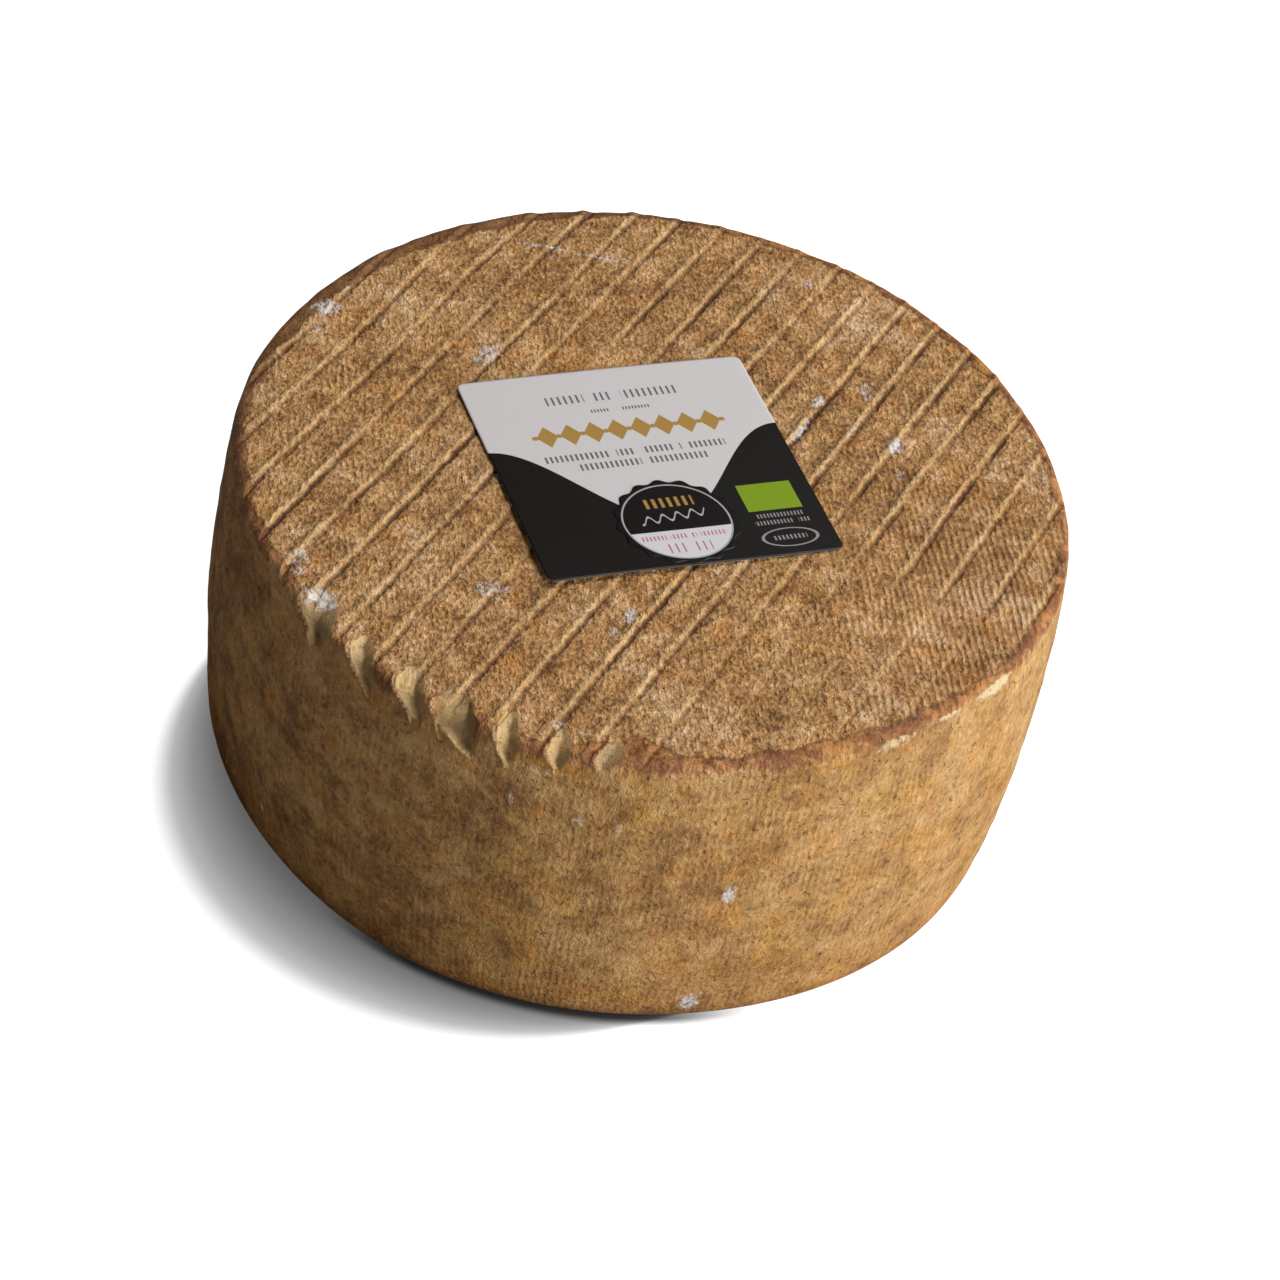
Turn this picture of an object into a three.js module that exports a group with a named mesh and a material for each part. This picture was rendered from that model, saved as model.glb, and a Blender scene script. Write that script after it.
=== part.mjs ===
import * as THREE from 'three'

// A whole cheese: a low drum of matured cheese, pressed in cloth, with a square paper label
// on its top and a small round seal on the label. Millimetres and degrees, +Z up, standing
// on its flat foot, with the middle of its box over the origin and its front towards -Y.

// The drum.
const wheelRadius = 100
const wheelHeight = 89.4
const footDraw = 0.8 // how much smaller the foot is than the wheel's radius
const topFlare = 0.3 // how much larger the top is
const bulge = 2.7 // how far the wall swells at half height
const footRounding = 6
const rimRounding = 2.2
const topLean = [1.1, -2.3] // the middle of the top, off the middle of the foot
const topSlope = [-0.0057, -0.0046] // how the top falls away along X and Y
const stand = [-0.35, 1.65] // the middle of the foot, off the origin

// A pressed cheese is never quite round: each wave is its size, its lobes and its first lobe's angle.
const footWaves = [[0.3, 2, -30], [0.3, 3, 60], [0.2, 4, -20], [0.4, 5, -35]]
const topWaves = [[1.4, 2, 85], [0.5, 3, 0], [0.5, 4, -10], [0.3, 5, -25]]

// Where the cloth was pleated over the rim it left flutes: each has its angle at the rim, its width,
// how far it runs in over the top and down the wall, its depth, and its slant (sideways per length).
const flutes = [
  { angle: -133, width: 12, inward: 9, down: 6, depth: 3.0, slant: 0.35 },
  { angle: -123.5, width: 9, inward: 8, down: 7.5, depth: 2.6, slant: 0.6 },
  { angle: -115.5, width: 8, inward: 9, down: 7.5, depth: 2.6, slant: 0.55 },
  { angle: -108.5, width: 9.5, inward: 9, down: 9, depth: 3.0, slant: 0.35 },
  { angle: -101.7, width: 6, inward: 10, down: 7, depth: 2.4, slant: 0.25 },
  { angle: -95.3, width: 5, inward: 11, down: 5, depth: 1.8, slant: 0.1 },
  { angle: -89, width: 4.5, inward: 9, down: 2.5, depth: 1.2, slant: -0.2 },
  { angle: -74.7, width: 4, inward: 8, down: 2, depth: 1.0, slant: -0.35 },
]
const flutedFrom = -140 // the stretch of the rim that has the flutes, and needs closer sections
const flutedTo = -70

// The label, and the seal stuck on it.
const labelSize = [72, 71.5]
const labelCorner = 2
const labelThickness = 0.3
const labelCentre = [-0.95, -1.45]
const labelTurn = 26.3
const sealRadius = 14.6
const sealLobes = 16
const sealLobeDepth = 0.5
const sealThickness = 0.2
const sealOffset = [-0.6, -20.2] // in the label's own directions, from its middle
const paperGap = 0.3 // left between pieces that lie on each other

const radians = THREE.MathUtils.degToRad
const smooth = THREE.MathUtils.smoothstep

function sumOfWaves(waves, angle) {
  return waves.reduce((sum, [size, lobes, turn]) => sum + size * Math.cos(lobes * radians(angle - turn)), 0)
}

// The drum's radius at an angle and a share of its height: a drawn-in foot, a flared top and a parabola
// for the swelling between, with the foot's waves turning into the top's.
function drumRadius(angle, share) {
  const swelling = bulge * 4 * share * (1 - share)
  const waves = sumOfWaves(footWaves, angle) * (1 - share) + sumOfWaves(topWaves, angle) * share
  return wheelRadius - footDraw * (1 - share) + topFlare * share + swelling + waves
}

// How deep the flutes are at an angle and a distance past the rim: below it, or (negative) in over the top.
function fluteDepth(angle, past) {
  let depth = 0
  for (const flute of flutes) {
    const side = radians(angle - flute.angle) * wheelRadius - flute.slant * past
    const across = Math.max(0, 1 - Math.abs(side) / (flute.width / 2))
    const along = past < 0 ? 1 - smooth(-past, 0, flute.inward) : 1 - smooth(past, flute.down / 2, flute.down)
    depth = Math.max(depth, flute.depth * across * along)
  }
  return depth
}

// A point of the drum's skin: an angle, how far inside the full outline it is, its height, and how far
// past the rim. Flutes push it in and down, square to the rim's edge.
function skinPoint(angle, inset, height, past) {
  const share = height / wheelHeight
  const cut = past === null ? 0 : fluteDepth(angle, past) * Math.SQRT1_2
  const radius = Math.max(0, drumRadius(angle, share) - inset - cut)
  const x = topLean[0] * share + radius * Math.cos(radians(angle))
  const y = topLean[1] * share + radius * Math.sin(radians(angle))
  const z = height + share * (topSlope[0] * x + topSlope[1] * y) - cut
  return new THREE.Vector3(x + stand[0], y + stand[1], z)
}

// The drum's profile from the middle of the foot to the middle of the top, one row for each ring:
// inset, height and distance past the rim (null where no flute reaches).
function drumProfile() {
  const rows = [[50, 0, null], [20, 0, null]]
  for (let step = 0; step <= 3; step++) {
    const turn = radians(30 * step)
    rows.push([footRounding * (1 - Math.sin(turn)), footRounding * (1 - Math.cos(turn)), null])
  }
  for (const drop of [68, 53, 38, 26, 17]) rows.push([0, wheelHeight - drop, null])
  for (const drop of [11, 8, 5.5]) rows.push([0, wheelHeight - drop, drop])
  for (let step = 0; step <= 2; step++) {
    const turn = radians(45 * step)
    const height = wheelHeight - rimRounding * (1 - Math.sin(turn))
    rows.push([rimRounding * (1 - Math.cos(turn)), height, rimRounding * (1 - step)])
  }
  for (const inset of [5, 8, 11.5]) rows.push([inset, wheelHeight, -inset])
  for (const inset of [18, 40, 70]) rows.push([inset, wheelHeight, null])
  return rows
}

function sectionAngles() {
  const angles = []
  for (let angle = flutedFrom; angle < flutedTo; angle += 1.75) angles.push(angle)
  for (let angle = flutedTo; angle < flutedFrom + 360; angle += 5) angles.push(angle)
  return angles
}

// Rings of points joined by bands of triangles, closed by a fan at the foot and a fan at the top.
function drumGeometry() {
  const angles = sectionAngles()
  const rows = drumProfile()
  const count = angles.length
  const points = []
  for (const [inset, height, past] of rows) {
    for (const angle of angles) points.push(skinPoint(angle, inset, height, past))
  }
  const footMiddle = points.length
  points.push(new THREE.Vector3(stand[0], stand[1], 0))
  const topMiddle = points.length
  const middleHeight = wheelHeight + topSlope[0] * topLean[0] + topSlope[1] * topLean[1]
  points.push(new THREE.Vector3(stand[0] + topLean[0], stand[1] + topLean[1], middleHeight))

  const faces = []
  const last = (rows.length - 1) * count
  for (let side = 0; side < count; side++) {
    const next = (side + 1) % count
    faces.push(footMiddle, next, side)
    faces.push(topMiddle, last + side, last + next)
    for (let row = 0; row < rows.length - 1; row++) {
      const low = row * count
      const high = low + count
      faces.push(low + side, low + next, high + next)
      faces.push(low + side, high + next, high + side)
    }
  }
  const geometry = new THREE.BufferGeometry().setFromPoints(points)
  geometry.setIndex(faces)
  geometry.computeVertexNormals()
  return geometry
}

function cheeseWheel() {
  const rind = new THREE.MeshStandardMaterial({ color: 0x9c6f38, roughness: 0.75, metalness: 0 })
  const mesh = new THREE.Mesh(drumGeometry(), rind)
  mesh.name = 'cheese_wheel'
  return mesh
}

// A square card with small round corners.
function paperLabel() {
  const [halfWidth, halfDepth] = labelSize.map((size) => size / 2)
  const outline = new THREE.Shape()
  const corners = [[1, -1, -90], [1, 1, 0], [-1, 1, 90], [-1, -1, 180]]
  for (const [sideX, sideY, from] of corners) {
    const x = sideX * (halfWidth - labelCorner)
    const y = sideY * (halfDepth - labelCorner)
    outline.absarc(x, y, labelCorner, radians(from), radians(from + 90), false)
  }
  const geometry = new THREE.ExtrudeGeometry(outline, {
    depth: labelThickness, bevelEnabled: false, curveSegments: 4,
  })
  const paper = new THREE.MeshStandardMaterial({ color: 0xc0bcbb, roughness: 0.5, metalness: 0 })
  const mesh = new THREE.Mesh(geometry, paper)
  mesh.name = 'paper_label'
  return mesh
}

// A disc whose edge waves in and out in equal lobes.
function sealSticker() {
  const points = []
  const steps = sealLobes * 6
  for (let step = 0; step < steps; step++) {
    const turn = (2 * Math.PI * step) / steps
    const radius = sealRadius + sealLobeDepth * Math.cos(sealLobes * turn)
    points.push(new THREE.Vector2(radius * Math.cos(turn), radius * Math.sin(turn)))
  }
  const geometry = new THREE.ExtrudeGeometry(new THREE.Shape(points), {
    depth: sealThickness, bevelEnabled: false,
  })
  const foil = new THREE.MeshStandardMaterial({ color: 0x1c1b1c, roughness: 0.35, metalness: 0 })
  const mesh = new THREE.Mesh(geometry, foil)
  mesh.name = 'seal_sticker'
  mesh.position.set(sealOffset[0], sealOffset[1], labelThickness + paperGap)
  return mesh
}

// The label and its seal lie on the sloping top together.
function labelOnTop() {
  const group = new THREE.Group()
  group.add(paperLabel(), sealSticker())
  const across = labelCentre[0] - stand[0]
  const back = labelCentre[1] - stand[1]
  const height = wheelHeight + topSlope[0] * across + topSlope[1] * back + paperGap
  const up = new THREE.Vector3(-topSlope[0], -topSlope[1], 1).normalize()
  const tip = new THREE.Quaternion().setFromUnitVectors(new THREE.Vector3(0, 0, 1), up)
  const turn = new THREE.Quaternion().setFromAxisAngle(new THREE.Vector3(0, 0, 1), radians(labelTurn))
  group.quaternion.copy(tip.multiply(turn))
  group.position.set(labelCentre[0], labelCentre[1], height)
  return group
}

const cheese = new THREE.Group()
cheese.add(cheeseWheel(), labelOnTop())

export default cheese
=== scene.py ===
# A whole cloth-pressed cheese: the drum with its rind, the square card label and the round seal on it.
# Lengths in the dictionaries are millimetres and angles are degrees; meshes are made in metres.
import math

import bpy
import numpy as np
from mathutils import Matrix, Vector


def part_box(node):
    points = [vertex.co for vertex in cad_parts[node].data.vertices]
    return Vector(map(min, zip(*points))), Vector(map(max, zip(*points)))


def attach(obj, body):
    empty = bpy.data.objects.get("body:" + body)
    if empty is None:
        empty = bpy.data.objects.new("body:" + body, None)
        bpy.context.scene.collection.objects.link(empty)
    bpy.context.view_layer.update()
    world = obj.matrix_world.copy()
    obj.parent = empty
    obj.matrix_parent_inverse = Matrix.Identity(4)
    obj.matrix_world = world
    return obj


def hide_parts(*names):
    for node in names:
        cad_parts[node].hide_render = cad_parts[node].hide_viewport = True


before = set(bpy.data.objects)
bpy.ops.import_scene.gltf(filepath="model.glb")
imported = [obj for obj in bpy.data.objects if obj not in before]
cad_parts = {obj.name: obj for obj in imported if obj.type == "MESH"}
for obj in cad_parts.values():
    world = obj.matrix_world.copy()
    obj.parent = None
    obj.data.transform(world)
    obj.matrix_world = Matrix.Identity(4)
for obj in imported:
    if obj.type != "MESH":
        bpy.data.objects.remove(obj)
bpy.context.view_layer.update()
mm = 0.001
print("frame loaded")


# Shared shape helpers.

def smoothStep(value, low, high):
    # 0 below low, 1 above high, and a curve with flat ends between them
    part = np.clip((value - low) / (high - low), 0, 1)
    return part * part * (3 - 2 * part)


def bump(value, halfWidth):
    # 1 at 0, falling to 0 at the half width each side, as a raised cosine
    return 0.5 + 0.5 * np.cos(np.pi * np.clip(np.abs(value) / halfWidth, 0, 1))


def cloudNoise(points, cell, seed):
    # value noise from -1 to 1: seeded numbers on a cubic lattice of that cell size, blended smoothly
    side = 32
    lattice = np.random.default_rng(seed).random((side, side, side))
    scaled = points / cell
    corner = np.floor(scaled).astype(int)
    part = scaled - corner
    part = part * part * (3 - 2 * part)
    total = np.zeros(len(points))
    for bits in range(8):
        step = np.array([bits & 1, bits >> 1 & 1, bits >> 2 & 1])
        weight = np.prod(np.where(step == 1, part, 1 - part), axis=1)
        x, y, z = ((corner + step) % side).T
        total += weight * lattice[x, y, z]
    return total * 2 - 1


def layeredNoise(points, cell, seed, layers=3):
    # cloud noise added to itself at half the cell and half the strength, as often as there are layers
    total = sum(cloudNoise(points, cell / 2 ** n, seed + n) / 2 ** n for n in range(layers))
    return total / (2 - 2 ** (1 - layers))


def makePiece(name, points, faces, attributes=(), uv=None):
    # points in millimetres; every attribute is a number for each point; uv is a pair for each point
    mesh = bpy.data.meshes.new(name)
    mesh.from_pydata((points * mm).tolist(), [], faces)
    for key, values in dict(attributes).items():
        layer = mesh.attributes.new(key, "FLOAT", "POINT")
        layer.data.foreach_set("value", np.asarray(values, np.float32))
    if uv is not None:
        corners = np.empty(len(mesh.loops), np.int32)
        mesh.loops.foreach_get("vertex_index", corners)
        layer = mesh.uv_layers.new(name="print")
        layer.data.foreach_set("uv", np.asarray(uv, np.float32)[corners].ravel())
    mesh.polygons.foreach_set("use_smooth", np.ones(len(mesh.polygons), bool))
    mesh.validate()
    mesh.update()
    piece = bpy.data.objects.new(name, mesh)
    bpy.context.scene.collection.objects.link(piece)
    return piece


def ringBands(rings):
    # quads between each two neighbouring closed rings of point numbers, row by row
    low = rings[:-1]
    high = rings[1:]
    lowNext = np.roll(low, -1, axis=1)
    highNext = np.roll(high, -1, axis=1)
    return np.stack([low, high, highNext, lowNext], axis=-1).reshape(-1, 4).tolist()


# The drum.

wheel = {
    "radius": 100.0,
    "height": 89.4,
    "footDraw": 0.8,        # how much smaller the foot is
    "topFlare": 0.3,        # how much larger the top is
    "swelling": 2.7,        # at half height
    "footRounding": 6.0,
    "rimRounding": 2.2,
    "lean": (1.1, -2.3),    # the middle of the top, off the middle of the foot
    "slope": (-0.0057, -0.0046),
    "stand": (-0.35, 1.65),
    "footWaves": [(0.3, 2, -30), (0.3, 3, 60), (0.2, 4, -20), (0.4, 5, -35)],   # size, lobes, turn
    "topWaves": [(1.4, 2, 85), (0.5, 3, 0), (0.5, 4, -10), (0.3, 5, -25)],
    "gridInset": 12.0,      # inside this line the top is a square grid, outside it rings
    "gridAcross": 330,
    "gridAlong": 122,
}

pleats = {
    "direction": 69.5,      # the way the cloth's folds run over the top
    "spacing": 10.5,
    "offset": 2.9,          # of the middle fold
    "count": 19,
    "wander": 0.8,
    "swell": 0.38,          # how far the mesh itself rises and falls at a fold
    "ridgeWidth": 1.15,
    "grooveWidth": 0.85,
    "grooveSide": 1.25,     # how far the groove lies to the right of its ridge
    # angle, width, inward, down, depth, slant; then where across it the crease lies, how cream its lit left
    # side is, partly as painted light, how far it narrows below, and how much lower its right end is
    "flutes": [
        (-132.0, 13.5, 9.0, 7.0, 2.8, 0.35, 0.38, 0.30, 0.75, 0.0),
        (-122.8, 9.0, 8.0, 7.5, 2.4, 0.60, 0.36, 0.70, 0.8, 0.0),
        (-114.9, 8.0, 9.0, 6.5, 2.4, 0.50, 0.58, 0.95, 0.7, 0.0),
        (-108.5, 9.8, 9.0, 6.5, 3.0, 0.30, 0.80, 0.15, 0.1, 0.5),
        (-101.3, 6.2, 10.0, 6.8, 2.2, 0.25, 0.50, 0.75, 0.8, 0.0),
        (-95.0, 5.2, 11.0, 5.0, 1.7, 0.10, 0.45, 0.50, 0.8, 0.0),
        (-89.0, 4.5, 9.0, 2.5, 1.1, -0.20, 0.50, 0.25, 0.8, 0.0),
    ],
}


def waveSum(waves, angle):
    return sum(size * np.cos(lobes * (angle - math.radians(turn))) for size, lobes, turn in waves)


def drumRadius(angle, share):
    # radius at an angle and a share of the height: drawn-in foot, flared top, a parabola of swelling, waves
    swelling = wheel["swelling"] * 4 * share * (1 - share)
    waves = waveSum(wheel["footWaves"], angle) * (1 - share) + waveSum(wheel["topWaves"], angle) * share
    return wheel["radius"] - wheel["footDraw"] * (1 - share) + wheel["topFlare"] * share + swelling + waves


def drumPoint(angle, inset, height):
    # the smooth drum's point at an angle, so far inside the outline, at a height
    share = height / wheel["height"]
    radius = drumRadius(angle, share) - inset
    x = wheel["lean"][0] * share + radius * np.cos(angle)
    y = wheel["lean"][1] * share + radius * np.sin(angle)
    z = height + share * (wheel["slope"][0] * x + wheel["slope"][1] * y)
    return np.stack([x + wheel["stand"][0], y + wheel["stand"][1], z], axis=-1)


def discGrid(across, along):
    # a square grid bent into a disc of radius 1: each side bows out until the square's edge is the circle
    a, b = np.meshgrid(np.linspace(-1, 1, across), np.linspace(-1, 1, along), indexing="ij")
    x = a * np.sqrt(1 - b * b / 2)
    y = b * np.sqrt(1 - a * a / 2)
    number = np.arange(across * along).reshape(across, along)
    quads = np.stack([number[:-1, :-1], number[1:, :-1], number[1:, 1:], number[:-1, 1:]], axis=-1)
    edge = np.concatenate([number[:-1, 0], number[-1, :-1], number[:0:-1, -1], number[0, :0:-1]])
    return x.ravel(), y.ravel(), quads.reshape(-1, 4).tolist(), edge


def drumRows():
    # the profile from the grid's edge over the rim and down to the foot: inset, height, how far past the rim,
    # and which way the skin faces (0 out, 90 up, -90 down)
    rim = wheel["rimRounding"]
    foot = wheel["footRounding"]
    full = wheel["height"]
    rows = [(inset, full, -inset, 90.0) for inset in np.linspace(wheel["gridInset"], rim, 14)[1:-1]]
    for turn in np.linspace(90, 0, 6):
        drop = rim * (1 - math.sin(math.radians(turn)))
        rows.append((rim * (1 - math.cos(math.radians(turn))), full - drop, rim * (1 - turn / 45), turn))
    for drop in np.concatenate([np.linspace(rim + 0.8, 13, 14), np.linspace(15, full - foot, 22)]):
        rows.append((0.0, full - drop, drop, 0.0))
    for turn in np.linspace(0, 90, 7)[1:]:
        lift = foot * (1 - math.sin(math.radians(turn)))
        rows.append((foot * (1 - math.cos(math.radians(turn))), lift, full - lift, -turn))
    for inset in (9.0, 20.0, 50.0):
        rows.append((inset, 0.0, full + inset, -90.0))
    return np.array(rows)


def foldPattern(x, y):
    # over the top, from the drum's middle: a fold every spacing across their direction, wandering a little.
    # Returns how far to the right of its nearest fold each point is, and how strong that fold's ridge and
    # groove are there, both nothing half way to the next fold.
    turn = math.radians(pleats["direction"])
    along = x * math.cos(turn) + y * math.sin(turn)
    across = x * math.sin(turn) - y * math.cos(turn)
    zero = np.zeros(len(x))
    nearest = np.full(len(x), 99.0)
    ridge = zero.copy()
    groove = zero.copy()
    for index in range(pleats["count"]):
        place = pleats["offset"] + pleats["spacing"] * (index - pleats["count"] // 2)
        line = np.stack([np.full(len(x), place * 3), along, zero], axis=-1)
        side = across - place - pleats["wander"] * layeredNoise(line, 38.0, 11, 2)
        closer = np.abs(side) < np.abs(nearest)
        nearest = np.where(closer, side, nearest)
        ridge = np.where(closer, np.clip(1.0 + 0.9 * layeredNoise(line, 14.0, 23, 2), 0.1, 1.4), ridge)
        groove = np.where(closer, np.clip(0.90 + 1.0 * layeredNoise(line, 11.0, 31, 2), 0.1, 1.4), groove)
    areas = layeredNoise(np.stack([across, along, zero], axis=-1), 45.0, 41, 2)
    calm = 0.65 + 0.35 * smoothStep(areas, -0.35, 0.25)
    flat = smoothStep(across, 20, 60) * smoothStep(-along, -12, 6)    # the front right shows hardly a fold
    calm = calm * (1 - 0.8 * flat) * (1 - smoothStep(np.abs(nearest), 3.4, 4.4))
    return nearest, ridge * calm, groove * calm


def fluteCut(angle, past):
    # how deep the flutes at the rim are: two flat sides that meet in a crease, from nothing inside to full at
    # the rim, narrowing to a point below, with a seeded wobble. Returns the depth, its share of full, the
    # cream side that faces the lamps, pale partly as painted light, and the raised lip.
    depth = np.zeros(len(angle))
    share = np.zeros(len(angle))
    lit = np.zeros(len(angle))
    lip = np.zeros(len(angle))
    ragged = np.stack([angle * wheel["radius"], past, np.zeros(len(angle))], axis=-1)
    wobble = 1.1 * layeredNoise(ragged, 4.5, 61, 2)
    for turn, width, inward, down, deep, slant, crease, cream, narrows, tilt in pleats["flutes"]:
        away = (angle - math.radians(turn) + np.pi) % (2 * np.pi) - np.pi
        side = away * wheel["radius"] - slant * past + wobble
        narrowing = (1 - narrows * smoothStep(past, 0.0, down)) * (1 - 0.5 * smoothStep(-past, 0, inward))
        half = width / 2 * narrowing
        bottom = (2 * crease - 1) * half
        across = np.where(side < bottom, (side + half) / (bottom + half), (half - side) / (half - bottom))
        across = np.clip(across, 0, 1)
        reach = down * (1 + tilt * np.clip(side / half, -1, 1))
        above = 1 - smoothStep(-past, 0.1 * inward, inward)
        below = 1 - smoothStep(past, 0.55 * reach, reach)
        along = np.where(past < 0, above, below)
        cut = deep * across * along
        lit = np.where(cut > depth, cream * smoothStep(bottom - side, -0.5, 0.4), lit)
        depth = np.maximum(depth, cut)
        share = np.maximum(share, np.clip(across * 4, 0, 1) * np.clip(along * 2.5, 0, 1))
        edge = bump(side + half + 0.3, 1.0) * smoothStep(past, -0.5 * inward, 0)
        edge = edge * (1 - smoothStep(past, down, down + 2))
        low = bump(past - reach, 1.3) * bump(side, half + 2.0) * (narrows < 0.5)
        lip = np.maximum(lip, np.maximum(edge, low * 1.3) * min(1, deep / 2.4))
    return depth, share, lit, lip


marks = {
    # mould on the top: x and y from the middle of the wheel, length, width, turn, strength
    "topMould": [
        (-85, 33, 7, 6, 20, 1.0), (-85, 24, 6, 5, 0, 0.55), (-44, 27, 12, 6, 70, 0.75),
        (-46, 18, 6, 4, 70, 0.4), (30, 80, 8, 6, 70, 0.5), (48, 42, 9, 3, 70, 0.65),
        (49, 38, 4, 2.5, 60, 0.8), (37, 33, 6, 3, 70, 0.9), (34, 21, 14, 2.2, 70, 0.75),
        (46, 24, 10, 2, 70, 0.6), (57, 21, 7, 4, 70, 1.0), (59, 11, 9, 4, 80, 0.55),
        (58, 0, 9, 7, 0, 0.3), (66, 46, 5, 4, 0, 0.35), (83, 56, 5, 3, -50, 0.4),
        (-66, -71, 10, 7, -30, 0.9), (-73, -58, 8, 5, 60, 0.7), (-30, -57, 11, 7, 20, 0.65),
        (-36, -52, 5, 4, 0, 0.35), (2, -57, 7, 3, 80, 0.95), (-1, -63, 4, 2.5, 80, 0.7),
        (-38, -27, 6, 4, 0, 0.35), (-9, -96, 5, 2, 20, 0.7), (-72, -63, 5, 3, 60, 0.7),
        (-25, -68, 5, 4, 60, 0.35), (16, 62, 7, 5, 20, 0.3), (-60, -46, 8, 5, 60, 0.3),
        (70, -22, 8, 5, 30, 0.25),
    ],
    # scratches on the top: from x, y to x, y, half width
    "scratches": [
        (-44, 74.5, -30, 75, 0.9), (-29, 74.5, -15, 74, 0.7), (-40, 77, -41, 70, 0.6),
        (-34, 76, -35, 70, 0.6),
    ],
    # spots on the wall: angle, height, width, tall, strength
    "wallMould": [
        (-70.3, 49.7, 3.4, 5, 1.1), (-85.2, 49.7, 2.6, 3, 0.7), (-71.6, 9, 5, 7, 1.0),
        (-139, 16.6, 2, 5, 0.7), (-99.4, 73, 2.5, 6, 0.6), (-91, 72, 5, 2, 0.7), (-86, 70, 2, 5, 0.6),
        (-82, 66, 5, 5, 0.4), (-115, 39, 2, 6, 0.45), (-79, 62, 4, 5, 0.35), (-98.8, 49.7, 3, 5, 0.4),
        (-152, 68, 3, 5, 0.4), (20, 40, 5, 6, 0.6), (75, 63, 6, 4, 0.5), (130, 30, 4, 8, 0.6),
        (165, 55, 5, 4, 0.5), (105, 14, 8, 4, 0.5),
    ],
    # dark spots about the rim, partly dark rind and partly painted shade of hollows: angle, past the rim,
    # width, tall, strength
    "hollowStainsAndShade": [
        (-118.3, 2.5, 3.5, 5, 0.9), (-127.5, 1.0, 3, 5, 0.5), (-104.6, 1.5, 2.5, 6, 0.5),
        (-98.2, 1.5, 2, 5, 0.4),
    ],
    # pale crust just under the rim: from angle to angle, how far below the rim, half height, strength
    "crust": [
        (-57, -44, 2.6, 2.4, 1.0), (-46, -37, 1.6, 1.4, 1.0), (-38, -26, 1.8, 2.4, 1.3),
        (-72, -55, 2.6, 2.2, 0.6), (-103, -88, 6.0, 2.6, 0.7), (40, 62, 2.5, 2.0, 0.8),
        (150, 168, 3.0, 1.8, 0.7),
    ],
}


def ellipseMark(x, y, centreX, centreY, length, width, turn):
    # 1 in the middle of a turned ellipse, falling to 0 at its edge
    turn = math.radians(turn)
    along = (x - centreX) * math.cos(turn) + (y - centreY) * math.sin(turn)
    across = (y - centreY) * math.cos(turn) - (x - centreX) * math.sin(turn)
    away = np.sqrt((along / length) ** 2 + (across / width) ** 2) * 1.5
    return 1 - smoothStep(away, 0.0, 1.4)


def mouldMask(x, y, z, angle, past):
    # the pale growths, each an ellipse or a thin line on the top or the wall; and the crust under the rim
    mask = np.zeros(len(x))
    crust = np.zeros(len(x))
    onTop = past < 1
    for centreX, centreY, length, width, turn, strength in marks["topMould"]:
        mask = np.maximum(mask, strength * onTop * ellipseMark(x, y, centreX, centreY, length, width, turn))
    for fromX, fromY, toX, toY, half in marks["scratches"]:
        step = np.array([toX - fromX, toY - fromY])
        part = np.clip(((x - fromX) * step[0] + (y - fromY) * step[1]) / (step @ step), 0, 1)
        away = np.hypot(x - fromX - part * step[0], y - fromY - part * step[1])
        mask = np.maximum(mask, 0.8 * onTop * (1 - smoothStep(away, 0.2 * half, half)))
    for turn, height, width, tall, strength in marks["wallMould"]:
        away = (angle - math.radians(turn) + np.pi) % (2 * np.pi) - np.pi
        spot = ellipseMark(away * wheel["radius"], z, 0, height, width, tall, 0)
        mask = np.maximum(mask, strength * (past > 1) * spot)
    for start, end, below, half, strength in marks["crust"]:
        middle = math.radians((start + end) / 2)
        away = (angle - middle + np.pi) % (2 * np.pi) - np.pi
        line = bump(away, math.radians(end - start) * 0.62) * bump(past - below, half * 1.5)
        crust = np.maximum(crust, strength * line)
    return mask, crust


def hollowStainAndShadeMask(angle, past):
    # dark spots about the rim, partly dark rind and partly painted shade of hollows, as ellipses on the
    # unrolled wall
    mask = np.zeros(len(angle))
    for turn, centre, width, tall, strength in marks["hollowStainsAndShade"]:
        away = (angle - math.radians(turn) + np.pi) % (2 * np.pi) - np.pi
        spot = ellipseMark(away * wheel["radius"], past, 0, centre, width, tall, 0)
        mask = np.maximum(mask, strength * spot)
    return mask


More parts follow.
